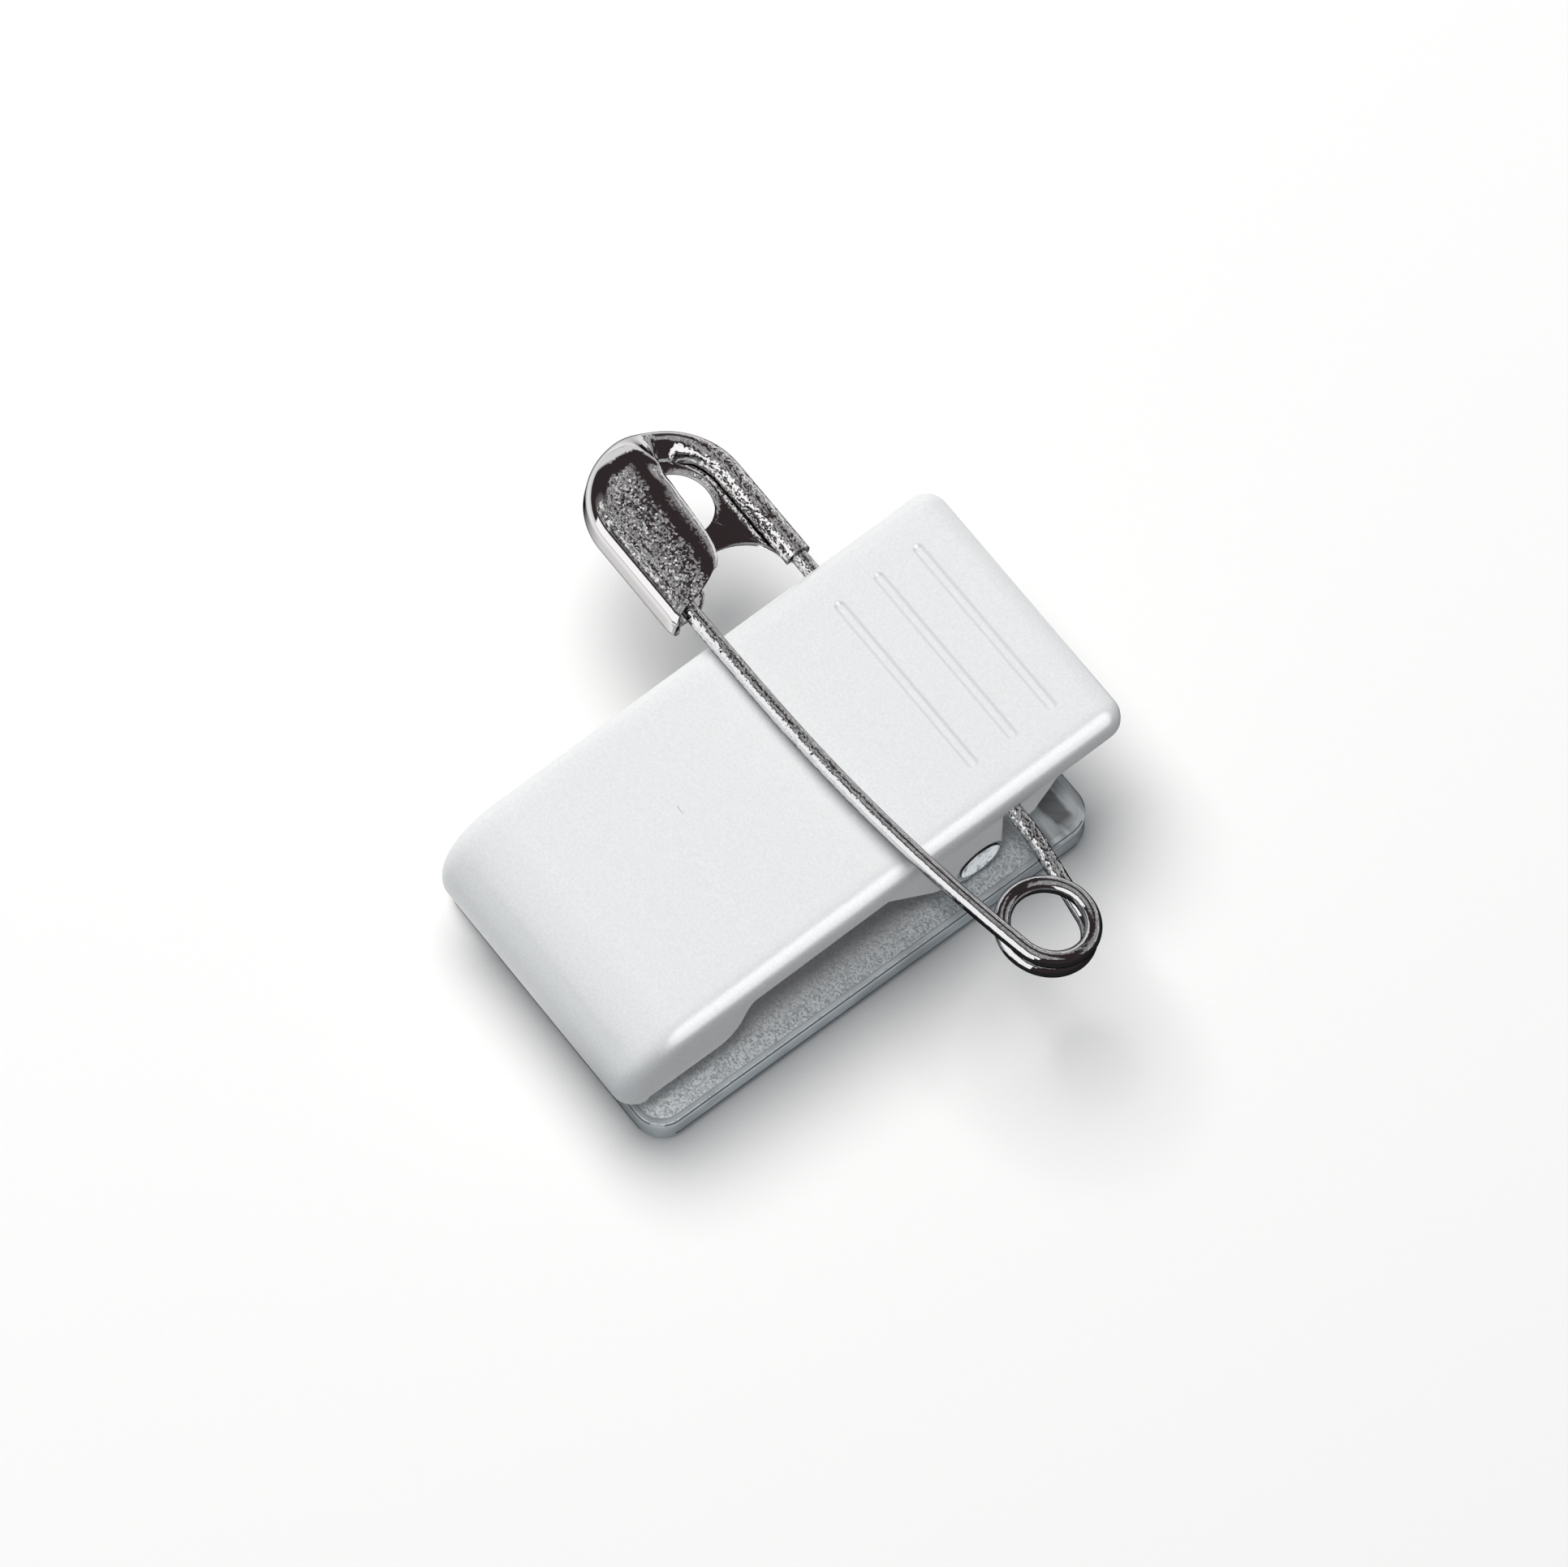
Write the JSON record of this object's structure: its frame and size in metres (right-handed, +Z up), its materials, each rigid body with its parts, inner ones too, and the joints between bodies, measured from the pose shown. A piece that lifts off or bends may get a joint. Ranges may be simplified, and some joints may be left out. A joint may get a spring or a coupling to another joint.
{
  "type": "clip pin",
  "caption": "Name badge clip pin: a white lever jaw on a clear base that grips cloth, with a nickel safety pin whose back wire runs through the jaw.",
  "frame": {"origin": "centre of the clear base's flat underside", "axes": "+Z up from the base, -Y towards the nose of the jaws, +X towards the pin's coil"},
  "size_m": [0.0295, 0.0254, 0.0088],
  "materials": {
    "clear_plastic": "clear, polished rim with a frosted field on top",
    "white_plastic": "semi-gloss moulded white",
    "spring_steel": "bright drawn wire",
    "nickel_wire": "nickel plated, polished",
    "nickel_sheet": "nickel plated, polished, faintly pitted"
  },
  "bodies": {
    "base": {"lower_jaw": "clear_plastic", "jaw_spring": "spring_steel"},
    "jaw": {"upper_jaw": "white_plastic"},
    "pin": {"pin_wire": "nickel_wire", "pin_cap": "nickel_sheet"}
  },
  "joints": [
    {"name": "jaw_hinge", "type": "hinge", "parent": "base", "child": "jaw", "pos_m": [0, 0.00591, 0.00305], "axis": [-1, 0, 0], "range_deg": [0, 30], "stiffness_Nm_per_rad": 0.01, "springref_deg": -85.94, "deforming": ["jaw_spring"]},
    {"name": "pin_swivel", "type": "hinge", "parent": "jaw", "child": "pin", "pos_m": [0, 0.00743, 0.00635], "axis": [-1, 0, 0], "range_deg": [0, 125]}
  ]
}
